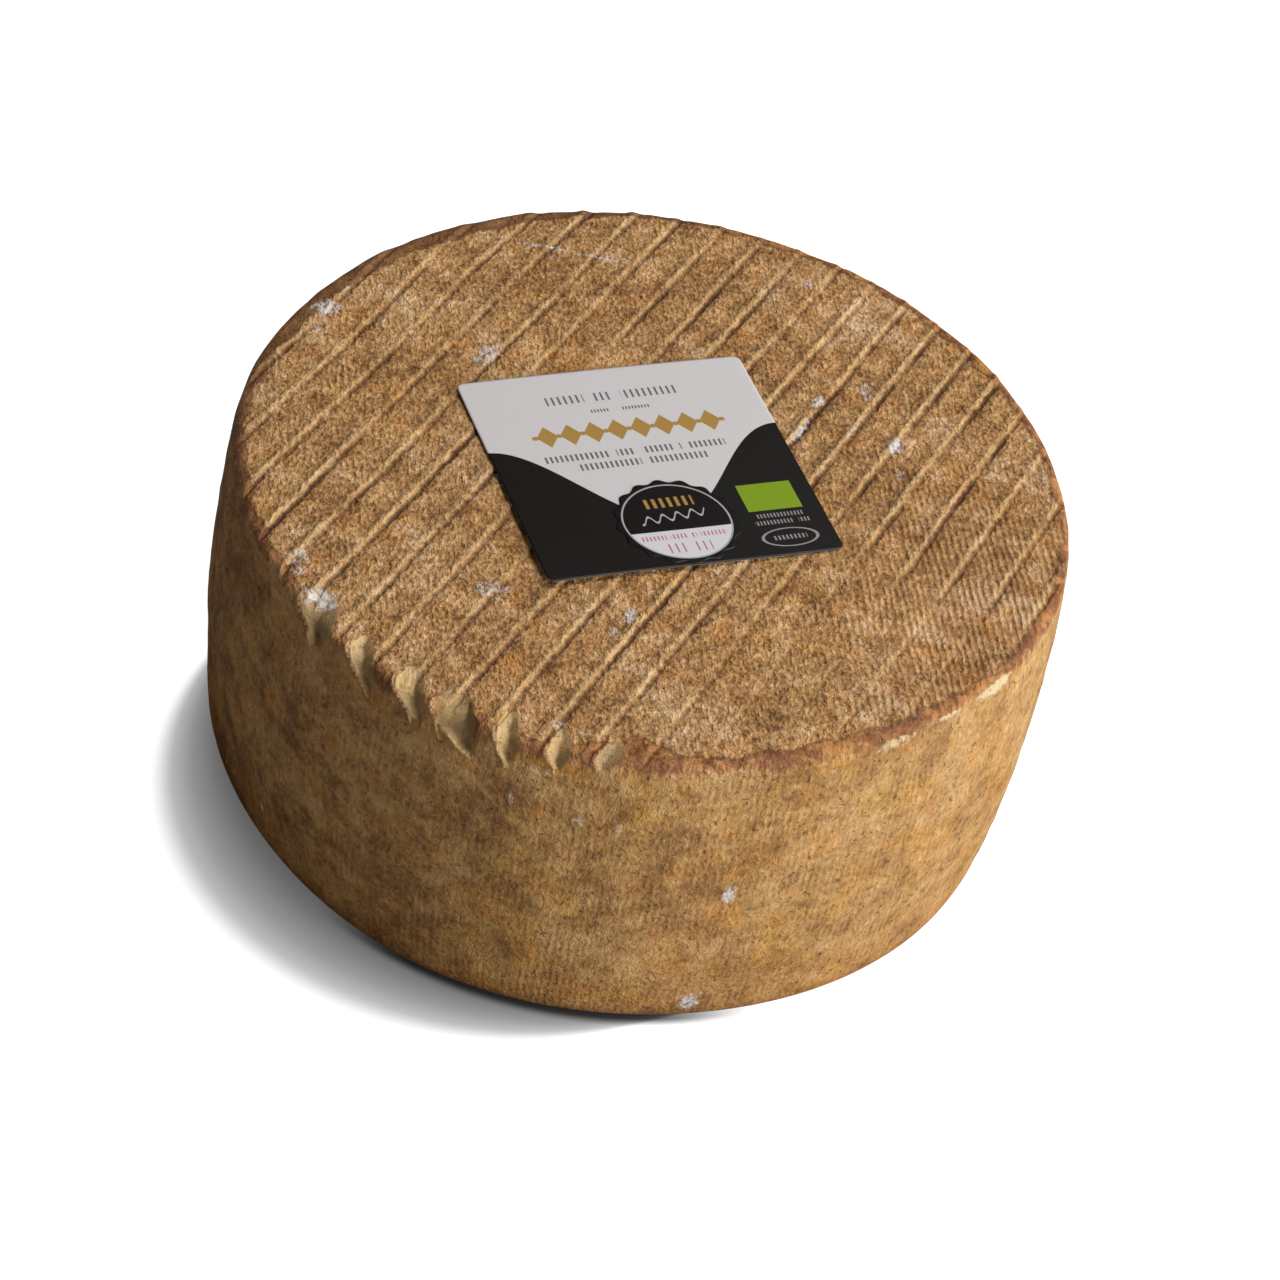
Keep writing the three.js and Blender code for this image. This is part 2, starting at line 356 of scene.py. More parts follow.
def wheelMesh():
    # a square grid for the top, rings over the rim and down the wall, and a fan to close the foot
    unitX, unitY, faces, edge = discGrid(wheel["gridAcross"], wheel["gridAlong"])
    turn = math.radians(pleats["direction"] - 90)
    discX = unitX * math.cos(turn) - unitY * math.sin(turn)
    discY = unitX * math.sin(turn) + unitY * math.cos(turn)
    gridAngle = np.arctan2(discY, discX)
    gridShare = np.hypot(discX, discY)
    topRadius = drumRadius(gridAngle, 1.0)
    gridInset = topRadius - gridShare * (topRadius - wheel["gridInset"])
    rows = drumRows()
    count = len(edge)

    angle = np.concatenate([gridAngle, np.tile(gridAngle[edge], len(rows))])
    inset = np.concatenate([gridInset, np.repeat(rows[:, 0], count)])
    height = np.concatenate([np.full(len(gridAngle), wheel["height"]), np.repeat(rows[:, 1], count)])
    past = np.concatenate([-gridInset, np.repeat(rows[:, 2], count)])
    facing = np.radians(np.concatenate([np.full(len(gridAngle), 90.0), np.repeat(rows[:, 3], count)]))
    smooth = drumPoint(angle, inset, height)
    level = np.cos(facing)
    outward = np.stack([level * np.cos(angle), level * np.sin(angle), np.sin(facing)], axis=-1)

    middle = smooth - np.array([*wheel["stand"], 0])
    foldSide, ridge, groove = foldPattern(middle[:, 0], middle[:, 1])
    folds = pleats["swell"] * (bump(foldSide + 0.4, 2.4) * ridge - bump(foldSide - 1.3, 1.8) * groove)
    onTop = smoothStep(-past, -1.5, 2.0)
    flat = smoothStep(np.maximum(np.abs(middle[:, 0] + 0.6), np.abs(middle[:, 1] + 3.1)), 30, 44)
    waviness = 0.55 * layeredNoise(smooth, 26.0, 3, 3) + 0.26 * layeredNoise(smooth, 5.0, 7, 2)
    onWall = smoothStep(past, 0, 6) * smoothStep(smooth[:, 2], 3, 12)
    lift = (folds + waviness * (0.45 + 0.55 * flat)) * onTop + waviness * 1.2 * onWall
    rimWobble = 0.55 * layeredNoise(smooth, 15.0, 51, 3) * bump(past, 7.0)
    cut, fluted, lit, lip = fluteCut(angle, past)
    cutWay = np.stack([np.cos(angle), np.sin(angle), np.ones(len(angle))], axis=-1) * math.sqrt(0.5)
    points = smooth + outward * (lift + rimWobble + 0.55 * lip)[:, None] - cutWay * cut[:, None]
    points[:, 2] = np.maximum(points[:, 2], 0)

    start = len(gridAngle)
    rings = np.concatenate([edge[None, :], np.arange(start, start + len(rows) * count).reshape(-1, count)])
    faces = faces + ringBands(rings)
    foot = len(points)
    points = np.vstack([points, [wheel["stand"][0], wheel["stand"][1], 0]])
    last = rings[-1]
    faces += np.stack([last, np.full(count, foot), np.roll(last, -1)], axis=-1).tolist()

    # the masks that the finish reads: growths, the band's width and weakness by angle, the flutes' surrounds
    mould, crust = mouldMask(middle[:, 0], middle[:, 1], middle[:, 2], angle, past)
    turned = np.degrees(angle)
    wide = 5.5 * bump(turned + 86, 9) + 1.2 * bump(turned + 60, 40) + 1.5 * bump(turned - 60, 50)
    wide += 3.2 * bump(turned - 140, 60)
    weak = bump(turned + 120, 32) * 0.55
    amber = bump(turned + 115, 26) * bump(past - 0.5, 5.0)
    masks = {
        "past": past, "foldSide": foldSide, "ridge": ridge * onTop, "groove": groove * onTop,
        "fluted": fluted, "lit": lit, "lip": lip, "amber": amber, "stain": hollowStainAndShadeMask(angle, past),
        "mould": mould, "crust": crust, "bandWidth": wide, "bandStrength": 1 - weak,
        "shaded": 0.5 - 0.5 * np.cos(angle + math.radians(35)),    # 0 at the front right, 1 at the back left
    }
    underFoot = {"past": wheel["height"] * 2}    # the fan's middle point comes last
    masks = {key: np.append(values, underFoot.get(key, 0)) for key, values in masks.items()}
    return makePiece("cheese_drum", points, faces, masks)


# The label and its seal.

label = {
    "size": (72.9, 72.3),
    "shift": (-0.6, -0.8),   # off the CAD label's middle, in the label's own directions
    "corner": 2.0,
    "thickness": 0.28,
    "turn": 26.3,
    "steps": 44,
    "cornerLift": 1.0,       # the front left corner stands up
    "bow": 0.30,
}

seal = {
    "radius": 14.5,
    "lobes": 16,
    "lobeDepth": 0.5,
    "thickness": 0.14,
    "place": (0.0, -21.0),   # from the label's middle, in its own directions
}


def labelHeight(x, y):
    # how far the card stands off the cheese: a parabola across its width, and its front left corner lifted
    halfX, halfY = label["size"][0] / 2, label["size"][1] / 2
    toCorner = smoothStep(-(x / halfX + y / halfY), 0.3, 2.0)
    return label["bow"] * (1 - (x / halfX) ** 2) + label["cornerLift"] * toCorner


def cardLines(half, corner, steps):
    # grid lines across a card: even in the middle, four closer ones across each round corner
    inner = np.linspace(-half + corner, half - corner, steps - 8)
    outer = np.linspace(0, corner, 5)[1:]
    return np.concatenate([-half + corner - outer[::-1], inner, half - corner + outer])


def roundCorners(x, y):
    # the square left in each corner is bent into a quarter disc
    corner = label["corner"]
    overX = np.clip(np.abs(x) - (label["size"][0] / 2 - corner), 0, None) / corner
    overY = np.clip(np.abs(y) - (label["size"][1] / 2 - corner), 0, None) / corner
    newX = x - np.sign(x) * corner * overX * (1 - np.sqrt(1 - overY ** 2 / 2))
    newY = y - np.sign(y) * corner * overY * (1 - np.sqrt(1 - overX ** 2 / 2))
    return newX, newY


def labelPlace():
    # the middle of the label's foot and the turn and tip that lay it on the sloping top, from the frame
    low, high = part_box("paper_label")
    middle = Vector(((low.x + high.x) / 2, (low.y + high.y) / 2, (low.z + high.z) / 2 - 0.15 * mm)) / mm
    up = Vector((-wheel["slope"][0], -wheel["slope"][1], 1)).normalized()
    tip = Vector((0, 0, 1)).rotation_difference(up).to_matrix().to_4x4()
    turn = Matrix.Rotation(math.radians(label["turn"]), 4, "Z")
    shift = Matrix.Translation((*label["shift"], 0))
    return Matrix.Translation(middle) @ tip @ turn @ shift


def laid(place, points):
    # points moved from the label's own directions onto the cheese
    matrix = np.array(place)
    return points @ matrix[:3, :3].T + matrix[:3, 3]


def labelMesh(place):
    # the card's upper and lower faces on one grid, joined by a band round the edge
    lines = [cardLines(size / 2, label["corner"], label["steps"]) for size in label["size"]]
    x, y = (values.ravel() for values in np.meshgrid(*lines, indexing="ij"))
    x, y = roundCorners(x, y)
    height = labelHeight(x, y)
    number = np.arange(len(x)).reshape(label["steps"], label["steps"])
    quads = np.stack([number[:-1, :-1], number[1:, :-1], number[1:, 1:], number[:-1, 1:]], axis=-1)
    quads = quads.reshape(-1, 4)
    edge = np.concatenate([number[:-1, 0], number[-1, :-1], number[:0:-1, -1], number[0, :0:-1]])
    upper = np.stack([x, y, height + label["thickness"]], axis=-1)
    lower = np.stack([x, y, height], axis=-1)
    below = len(x)
    faces = quads.tolist() + (quads[:, ::-1] + below).tolist()
    nextEdge = np.roll(edge, -1)
    faces += np.stack([edge, edge + below, nextEdge + below, nextEdge], axis=-1).tolist()
    uv = np.stack([x / label["size"][0] + 0.5, y / label["size"][1] + 0.5], axis=-1)
    # the lower face's points mark where the cut edge is painted dark as shade
    cutEdge = np.zeros(2 * below)
    cutEdge[below:] = 1
    points = laid(place, np.vstack([upper, lower]))
    return makePiece("card_label", points, faces, {"cutEdge": cutEdge}, np.vstack([uv, uv]))


def sealMesh(place):
    # a disc with a lobed edge: rings from the upper middle out over the edge and back to the lower middle
    count = seal["lobes"] * 16
    angle = np.linspace(0, 2 * np.pi, count, endpoint=False)
    reach = seal["radius"] + seal["lobeDepth"] * np.cos(seal["lobes"] * angle)
    shares = [0.15, 0.4, 0.65, 0.85, 0.95, 0.992, 1.0, 1.0, 0.992, 0.85, 0.5]
    levels = [1.0, 1.0, 1.0, 1.0, 1.0, 1.0, 0.8, 0.2, 0.0, 0.0, 0.0]
    x = np.append(np.outer(shares, reach * np.cos(angle)).ravel(), [0, 0])
    y = np.append(np.outer(shares, reach * np.sin(angle)).ravel(), [0, 0])
    level = np.append(np.repeat(levels, count), [1, 0])
    onCardX = x + seal["place"][0]
    onCardY = y + seal["place"][1]
    height = labelHeight(onCardX, onCardY) + label["thickness"] + 0.03 + seal["thickness"] * level
    rings = np.arange(len(shares) * count).reshape(len(shares), count)
    faces = ringBands(rings)
    top, under = len(x) - 2, len(x) - 1
    first, last = rings[0], rings[-1]
    faces += np.stack([first, np.roll(first, -1), np.full(count, top)], axis=-1).tolist()
    faces += np.stack([last, np.full(count, under), np.roll(last, -1)], axis=-1).tolist()
    uv = np.stack([x, y], axis=-1) / (2 * seal["radius"] + 2) + 0.5
    points = laid(place, np.stack([onCardX, onCardY, height], axis=-1))
    return makePiece("round_seal", points, faces, {}, uv)


# Node helpers.

class Wire:
    # one socket of a finish; arithmetic on it adds Math nodes to the same finish
    def __init__(self, finish, socket):
        self.finish = finish
        self.socket = socket

    def maths(self, operation, *others):
        inputs = dict(enumerate((self, *others)))
        return self.finish.node("ShaderNodeMath", {"operation": operation}, inputs)

    def __add__(self, other):
        return self.maths("ADD", other)

    def __radd__(self, other):
        return self.maths("ADD", other)

    def __sub__(self, other):
        return self.maths("SUBTRACT", other)

    def __rsub__(self, other):
        return self.finish.node("ShaderNodeMath", {"operation": "SUBTRACT"}, {0: other, 1: self})

    def __mul__(self, other):
        return self.maths("MULTIPLY", other)

    def __rmul__(self, other):
        return self.maths("MULTIPLY", other)

    def __truediv__(self, other):
        return self.maths("DIVIDE", other)

    def __gt__(self, other):
        return self.maths("GREATER_THAN", other)

    def __lt__(self, other):
        return self.maths("LESS_THAN", other)


class Finish:
    # a material being built: its shader, and one method that adds any node
    def __init__(self, name, constants):
        self.material = bpy.data.materials.new(name)
        self.material.use_nodes = True
        self.tree = self.material.node_tree
        self.shader = self.tree.nodes["Principled BSDF"]
        for socket, value in constants.items():
            self.shader.inputs[socket].default_value = value

    def node(self, kind, settings=None, inputs=None, output=0):
        # settings go first, then each input takes a value or a wire; the asked output comes back as a wire
        made = self.tree.nodes.new(kind)
        for key, value in (settings or {}).items():
            if key == "stops":
                self.setStops(made.color_ramp, value)
            else:
                setattr(made, key, value)
        for key, value in (inputs or {}).items():
            if isinstance(value, Wire):
                self.tree.links.new(value.socket, made.inputs[key])
            else:
                made.inputs[key].default_value = value
        return Wire(self, made.outputs[output])

    def setStops(self, ramp, stops):
        while len(ramp.elements) < len(stops):
            ramp.elements.new(0.5)
        for element, (place, shade) in zip(ramp.elements, stops):
            element.position = place
            element.color = (*shade, 1)

    def feed(self, wires):
        for socket, wire in wires.items():
            self.tree.links.new(wire.socket, self.shader.inputs[socket])

    def attribute(self, name):
        return self.node("ShaderNodeAttribute", {"attribute_name": name}, output="Fac")

    def place(self, turn=0.0, scale=1.0):
        # object coordinates in millimetres, turned about Z
        spot = self.node("ShaderNodeTexCoord", output="Object")
        size = scale / mm
        inputs = {"Vector": spot, "Rotation": (0, 0, -turn), "Scale": (size,) * 3}
        return self.node("ShaderNodeMapping", {}, inputs)

    def noise(self, spot, size, detail=3.0, rough=0.55, output=0):
        # size is about the width of one cloud, in millimetres
        inputs = {"Vector": spot, "Scale": 1 / size, "Detail": detail, "Roughness": rough}
        return self.node("ShaderNodeTexNoise", {}, inputs, output)

    def rise(self, value, low, high):
        # 0 below low, 1 above high, smooth between; the other way round when low is the larger
        inputs = {"Value": value, "From Min": low, "From Max": high}
        return self.node("ShaderNodeMapRange", {"interpolation_type": "SMOOTHSTEP"}, inputs)

    def stretchedNoise(self, spot, sizes, detail=2.0, rough=0.5):
        # noise whose clouds are that wide along each axis, in millimetres
        scales = tuple(1 / size for size in sizes)
        scaled = self.node("ShaderNodeMapping", {}, {"Vector": spot, "Scale": scales})
        inputs = {"Vector": scaled, "Scale": 1.0, "Detail": detail, "Roughness": rough}
        return self.node("ShaderNodeTexNoise", {}, inputs)

    def blend(self, share, first, second, how="MIX"):
        # colours: first where the share is 0, second where it is 1
        settings = {"data_type": "RGBA", "blend_type": how}
        first, second = (value if isinstance(value, Wire) else (*value, 1) for value in (first, second))
        return self.node("ShaderNodeMix", settings, {0: share, 6: first, 7: second}, 2)

    def parts(self, vector):
        inputs = {0: vector}
        return [self.node("ShaderNodeSeparateXYZ", {}, inputs, axis) for axis in range(3)]

    def raised(self, height, strength=1.0):
        # height in millimetres becomes a bump
        inputs = {"Height": height, "Distance": mm, "Strength": strength}
        return self.node("ShaderNodeBump", {}, inputs, "Normal")


# The rind.

rind = {
    "weaveTurn": 103.0,      # the way the cloth's threads lie on the top
    "ribPitch": 1.66,
    "grain": (0.95, 1.45, 1.1),    # crumbs of rind on the top: across the threads, along them, and up
    "wallGrain": (1.1, 1.1, 1.5),
    "wallRibs": 374,         # round the whole wall
    "topTones": [            # how dark or pale a spot is, and its colour
        (0.12, (0.205, 0.088, 0.024)), (0.34, (0.380, 0.187, 0.062)), (0.50, (0.525, 0.278, 0.103)),
        (0.66, (0.680, 0.382, 0.157)), (0.88, (0.920, 0.590, 0.290)),
    ],
    "wallTones": [
        (0.08, (0.300, 0.142, 0.040)), (0.34, (0.450, 0.238, 0.078)), (0.50, (0.550, 0.306, 0.106)),
        (0.66, (0.625, 0.360, 0.132)), (0.92, (0.780, 0.490, 0.212)),
    ],
    "umber": (0.135, 0.056, 0.019),
    "yellowTint": (1.10, 1.03, 0.72),
    "redTint": (1.02, 0.86, 0.66),
    # multiplied into the wall towards the back left, partly browner rind and partly painted shade, and
    # towards the foot
    "brownAndShadeTint": (0.80, 0.61, 0.40),
    "dullTint": (0.83, 0.81, 0.84),
    "greyTint": (0.92, 0.98, 1.25),
    "redBrown": (0.235, 0.075, 0.020),
    "orange": (0.58, 0.255, 0.062),
    "cream": (0.85, 0.60, 0.29),
    "amber": (0.58, 0.34, 0.10),
    "olive": (0.36, 0.240, 0.110),
    "mould": (0.82, 0.75, 0.71),
    "crust": (0.82, 0.64, 0.36),
    "toneShares": (1.15, 0.28, 0.11, 0.9),     # of grain, fine grain, ribs and spots in how pale a spot is
    "reliefShares": (1.6, 0.13, 1.0),          # of grain, ribs and spots in its height
    # how much cream goes on the ridges (pale crumbs and painted highlight) and umber in the grooves (painted
    # shade)
    "ridgePaleAndHighlight": 0.40,
    "paintedGrooveShade": 0.80,
    "ridgeRise": 0.42,
    "grooveDrop": 0.60,
    "bandShade": 0.88,
    "footShade": 0.62,
    "ragged": 7.5,           # how far the band's edges wander
}


def rindFinish():
    finish = Finish("rind", {"Roughness": 0.7, "IOR": 1.42})
    spot = finish.place()
    past = finish.attribute("past")
    onWall = finish.rise(past, 0.5, 4.0)

    # crumbs of rind, longer along the cloth's threads on the top and upright on the wall
    turned = finish.place(math.radians(rind["weaveTurn"] - 90))
    topGrain = finish.stretchedNoise(turned, rind["grain"], 3.0, 0.55)
    wallGrain = finish.stretchedNoise(spot, rind["wallGrain"], 3.0, 0.55)
    grain = topGrain + onWall * (wallGrain - topGrain) - 0.5
    fine = finish.noise(spot, 0.5, 2.0, 0.6) - 0.5
    spots = finish.noise(spot, 2.6, 3.0, 0.6) - 0.5
    patches = finish.noise(spot, 8.0, 4.0, 0.62) - 0.5
    clouds = finish.noise(spot, 27.0, 4.0, 0.6) - 0.5

    # the cloth's own print: ribs along the threads, and upright ribs, a whole number of them round the wall
    sway = finish.noise(spot, 12.0, 2.0) * 7.0
    across, _, _ = finish.parts(turned)
    x, y, z = finish.parts(spot)
    topRib = (across * (2 * math.pi / rind["ribPitch"]) + sway).maths("SINE")
    wallRib = (y.maths("ARCTAN2", x) * rind["wallRibs"] + sway * 0.7).maths("SINE")
    frontRight = finish.rise(across, 15.0, 75.0) * finish.rise(y, 35.0, -25.0)
    clear = finish.rise(finish.noise(spot, 15.0, 3.0), 0.42, 0.62)
    topPrint = topRib * (frontRight * 0.85 + clear * 0.35 + 0.08)
    wallPrint = wallRib * (clear * 0.70 + 0.15)
    ribs = topPrint + onWall * (wallPrint - topPrint)

    # the crumbs are finer where the ribs are clear
    grain = grain * (1 - frontRight * (1 - onWall) * 0.40)

    # how dark or pale each spot is, from crumbs, ribs and blotches of several sizes, then its colour
    grainShare, fineShare, ribShare, spotShare = rind["toneShares"]
    crumbs = grain * grainShare + fine * fineShare + ribs * ribShare + spots * spotShare
    tone = crumbs * (1 - onWall * 0.25) + patches * (onWall * 0.25 + 0.95) + clouds * 0.7
    tone = tone + 0.50 - onWall * 0.02
    topShade = finish.node("ShaderNodeValToRGB", {"stops": rind["topTones"]}, {"Fac": tone})
    wallShade = finish.node("ShaderNodeValToRGB", {"stops": rind["wallTones"]}, {"Fac": tone})
    shade = finish.blend(onWall, topShade, wallShade)
    yellowed = finish.rise(finish.noise(spot, 12.0, 6.0, 0.66, "Color"), 0.49, 0.60)
    shade = finish.blend(yellowed * (0.45 + onWall * 0.3), shade, rind["yellowTint"], "MULTIPLY")
    reddened = finish.rise(finish.noise(turned, 11.0, 6.0, 0.68), 0.52, 0.63)
    shade = finish.blend(reddened * 0.75, shade, rind["redTint"], "MULTIPLY")
    greyed = finish.rise(clouds + patches * 0.8 + spots * 0.6, 0.02, 0.20)
    shade = finish.blend(greyed * (1 - onWall * 0.6) * 0.6, shade, rind["greyTint"], "MULTIPLY")
    shade = finish.blend(frontRight * (1 - onWall) * 0.7, shade, rind["dullTint"], "MULTIPLY")

    # the wall grows darker and blotched towards the back left, away from the lamps, partly as a browner rind
    # and partly as painted shade; it is also darker towards the foot
    turnTo = finish.attribute("shaded")
    blotch = finish.rise(patches * 0.9 + clouds * 0.6 + spots * 0.5, 0.10, -0.24)
    low = finish.rise(z, 30.0, 3.0)
    brownedAndShaded = onWall * (turnTo * turnTo * 0.65 + turnTo * 0.30 + low * 0.45)
    shade = finish.blend(brownedAndShaded, shade, rind["brownAndShadeTint"], "MULTIPLY")
    shade = finish.blend(blotch * onWall * (turnTo * (1 - turnTo * 0.45) * 0.60 + 0.15), shade, rind["umber"])

    # small dark pits and pale crumbs
    pits = finish.rise(finish.noise(turned, 1.5, 3.0, 0.62), 0.40, 0.30)
    shade = finish.blend(pits * 0.6, shade, rind["umber"])
    flecks = finish.rise(finish.noise(spot, 0.9, 2.0, 0.6), 0.60, 0.74)
    shade = finish.blend(flecks * 0.35, shade, rind["cream"])

    # the folds on the top: a pale crumbly ridge, its lit side partly a painted highlight, with a thin dark
    # groove to its right, its darkness painted shade
    side = finish.attribute("foldSide") + (finish.noise(spot, 2.2, 3.0, 0.6) - 0.5) * 1.5
    away = side.maths("ABSOLUTE")
    toGroove = (side - pleats["grooveSide"]).maths("ABSOLUTE")
    broken = finish.rise(finish.noise(spot, 3.0, 3.0, 0.6), 0.34, 0.54)
    ridge = finish.rise(away, pleats["ridgeWidth"], 0.1) * finish.attribute("ridge") * (broken * 0.7 + 0.3)
    groove = finish.rise(toGroove, pleats["grooveWidth"], 0.1) * finish.attribute("groove")
    shade = finish.blend(ridge * rind["ridgePaleAndHighlight"], shade, rind["cream"])
    shade = finish.blend(groove * rind["paintedGrooveShade"], shade, rind["umber"])

    # the rim: a ragged red-brown band, dark at the back left, away from the lamps, partly as painted shade,
    # with a thin dark line at its inner edge
    ragged = finish.noise(spot, 6.5, 6.0, 0.66) - 0.5
    edge = past + ragged * rind["ragged"]
    wide = finish.attribute("bandWidth")
    strength = finish.attribute("bandStrength")
    band = finish.rise(edge + wide, -3.2, -1.8) * (1 - finish.rise(edge, -0.4, 3.0)) * strength
    innerLine = finish.rise((edge + wide + 2.2).maths("ABSOLUTE"), 0.8, 0.1) * strength
    fluted = finish.attribute("fluted")
    smoothBand = band * (1 - fluted)
    redder = finish.rise(patches + spots * 0.9 + ragged * 0.8, -0.12, 0.16)
    bandShade = finish.blend(redder * 0.8, rind["redBrown"], rind["orange"])
    # towards the back left the band goes to umber: partly its darker colour, partly painted shade
    bandShade = finish.blend(finish.rise(turnTo, 0.6, 0.9) * 0.7, bandShade, rind["umber"])
    shade = finish.blend(smoothBand * rind["bandShade"], shade, bandShade)
    shade = finish.blend(innerLine * (1 - fluted) * 0.55, shade, rind["umber"])
    foot = finish.rise(edge, 81.0, 90.0)
    shade = finish.blend(foot * rind["footShade"], shade, rind["redBrown"])

    # the flutes: cream on their left, the side facing the lamps, partly as painted light; olive on their
    # right, pale along their lips, orange-brown between them
    amber = finish.rise(finish.attribute("amber") + ragged * 1.2 + spots * 0.6, 0.25, 0.75)
    shade = finish.blend(amber * 0.75, shade, bandShade)
    streaks = finish.stretchedNoise(spot, (0.9, 0.9, 5.0), 4.0, 0.6) - 0.5
    cream = finish.attribute("lit") + streaks * 0.8
    fluteShade = finish.blend(cream, rind["olive"], rind["cream"])
    ambered = finish.rise(patches + spots + streaks * 0.6, -0.04, 0.18)
    fluteShade = finish.blend(ambered * 0.55, fluteShade, rind["amber"])
    shade = finish.blend(finish.rise(fluted + ragged * 0.6, 0.3, 0.7) * 0.85, shade, fluteShade)
    lip = finish.rise(finish.attribute("lip") + ragged * 0.9 + spots * 0.8, 0.3, 0.8)
    shade = finish.blend(lip * 0.65, shade, rind["cream"])
    # dark spots at the rim between the flutes: partly dark rind, partly painted shade of hollows
    shade = finish.blend(finish.attribute("stain") * 0.8, shade, rind["umber"])

    # mould, broken up by fine grain, and crust, broken into beads
    fuzz = finish.noise(spot, 2.0, 6.0, 0.72) * 2.6 + grain * 2.4 - 0.3
    mould = finish.rise(finish.attribute("mould") * fuzz, 0.30, 0.95)
    shade = finish.blend(mould * 0.9, shade, rind["mould"])
    beads = finish.noise(spot, 1.3, 2.0, 0.5) * 2.4 + patches * 1.6
    crust = finish.rise(finish.attribute("crust") * beads, 0.55, 1.25)
    shade = finish.blend(crust * 0.85, shade, rind["crust"])

    # the height of it all, calmer on the band and in the flutes
    calm = (1 - smoothBand * 0.6) * (1 - finish.rise(fluted, 0.1, 0.5) * 0.85)
    grainShare, ribShare, spotShare = rind["reliefShares"]
    relief = (grain * grainShare + ribs * ribShare + spots * spotShare) * (1 - onWall * 0.6)
    height = relief * calm + fine * 0.30 - pits * 0.30 + (mould + crust * 2) * 0.12
    height = height + ridge * rind["ridgeRise"] - groove * rind["grooveDrop"]
    rough = 0.80 - smoothBand * 0.28 - fluted * 0.12 + mould * 0.1
    finish.feed({"Base Color": shade, "Normal": finish.raised(height), "Roughness": rough})
    return finish.material


# The printed card and the seal.

printing = {
    "pale": (0.66, 0.625, 0.62),
    "ink": (0.008, 0.006, 0.005),
    "gold": (0.42, 0.245, 0.060),
    "green": (0.215, 0.335, 0.010),
    "greyInk": (0.13, 0.12, 0.12),
    "magenta": (0.50, 0.085, 0.17),
    # the card's cut edge, darkened as painted shade
    "cutEdge": (0.20, 0.18, 0.17),
    "sealPale": (0.70, 0.68, 0.69),
    "sealRing": (0.42, 0.40, 0.40),
    "flourish": (0.45, 0.43, 0.43),
    "cardGloss": {"Roughness": 0.36, "Specular IOR Level": 0.25, "Coat Weight": 0.03, "Coat Roughness": 0.22},
    "sealGloss": {"Roughness": 0.30, "Coat Weight": 0.1, "Coat Roughness": 0.15, "IOR": 1.42},
    "waveMiddle": -4.7,      # the dark field's edge is one cosine wave, lowest at the middle
    "waveRise": 14.8,
    "ornament": (13.4, 7.6, 5.9, 24.4),    # a row of lozenges: middle, height, pitch, how far each way
    "mark": (25.0, -15.7, 13.7, 9.5),
    "oval": (25.0, -30.2, 6.9, 3.1),
}


def inside(value, low, high):
    # 1 between low and high, 0 elsewhere
    return (value > low) * (value < high)


def wordRow(x, y, middle, height, words, pitch, stroke):
    # a generic line of print: each word is a run of fine upright strokes, with gaps between the runs
    strokes = ((x / pitch).maths("FRACT")) < stroke
    runs = sum((inside(x, start, end) for start, end in words[1:]), inside(x, *words[0]))
    return strokes * runs * inside(y, middle - height / 2, middle + height / 2)


def labelFinish():
    finish = Finish("label_card", printing["cardGloss"])
    u, v, _ = finish.parts(finish.node("ShaderNodeUVMap", {"uv_map": "print"}))
    x = (u - 0.5) * label["size"][0]
    y = (v - 0.5) * label["size"][1]

    # the dark field lies under the wave
    wave = ((x + 0.3) * (2 * math.pi / label["size"][0])).maths("COSINE")
    dark = y < wave * -printing["waveRise"] + printing["waveMiddle"]
    shade = finish.blend(dark, printing["pale"], printing["ink"])

    # the small print: middle, height, runs of strokes, pitch, and how much of the pitch a stroke takes
    heading = wordRow(x, y, 26.0, 3.0, [(-17, -7.5), (-5.5, 0), (2, 17)], 1.55, 0.34)
    small = wordRow(x, y, 20.9, 1.1, [(-7.5, -2.5), (0.8, 8)], 0.8, 0.5)
    lineOne = wordRow(x, y, 5.2, 2.3, [(-24, -8), (-6, -1.5), (0.5, 8), (9.5, 10.3), (12, 21.5)], 1.25, 0.42)
    lineTwo = wordRow(x, y, 1.4, 2.3, [(-17, -1), (1, 16)], 1.25, 0.42)
    shade = finish.blend(heading + small + lineOne + lineTwo, shade, printing["greyInk"])

    # the title's place holds a plain ornament: a row of gold lozenges with a dot between each two
    middle, tall, pitch, reach = printing["ornament"]
    cell = ((x / pitch).maths("FRACT") - 0.5).maths("ABSOLUTE") * pitch
    rise = (y - middle).maths("ABSOLUTE")
    lozenges = cell / (pitch * 0.46) + rise / (tall / 2) < 1
    dots = (pitch / 2 - cell).maths("POWER", 2.0) + rise.maths("POWER", 2.0) < 0.5
    shade = finish.blend((lozenges + dots) * inside(x, -reach, reach), shade, printing["gold"])

    # the green rectangle, the lines of print below it and the oval ring
    middleX, middleY, width, tall = printing["mark"]
    patch = inside(x, middleX - width / 2, middleX + width / 2)
    patch = patch * inside(y, middleY - tall / 2, middleY + tall / 2)
    shade = finish.blend(patch, shade, printing["green"])
    code = wordRow(x, y, -22.3, 1.4, [(19.5, 31.0)], 0.85, 0.45)
    code = code + wordRow(x, y, -24.7, 1.4, [(18.2, 28.0), (29.2, 32.0)], 0.85, 0.45)
    middleX, middleY, halfWide, halfTall = printing["oval"]
    ring = ((x - middleX) / halfWide).maths("POWER", 2.0) + ((y - middleY) / halfTall).maths("POWER", 2.0)
    code = code + inside(ring, 0.86, 1.08) + wordRow(x, y, middleY, 1.5, [(20.8, 29.2)], 1.0, 0.45)
    shade = finish.blend(code * 0.45, shade, printing["pale"])

    # the cut edge goes dark: painted shade
    edge = finish.rise(finish.attribute("cutEdge"), 0.15, 0.4)
    shade = finish.blend(edge, shade, printing["cutEdge"])
    paper = finish.noise(finish.place(), 1.2, 3.0)
    finish.feed({"Base Color": shade, "Normal": finish.raised(paper * 0.02), "Roughness": 0.34 + paper * 0.1})
    return finish.material


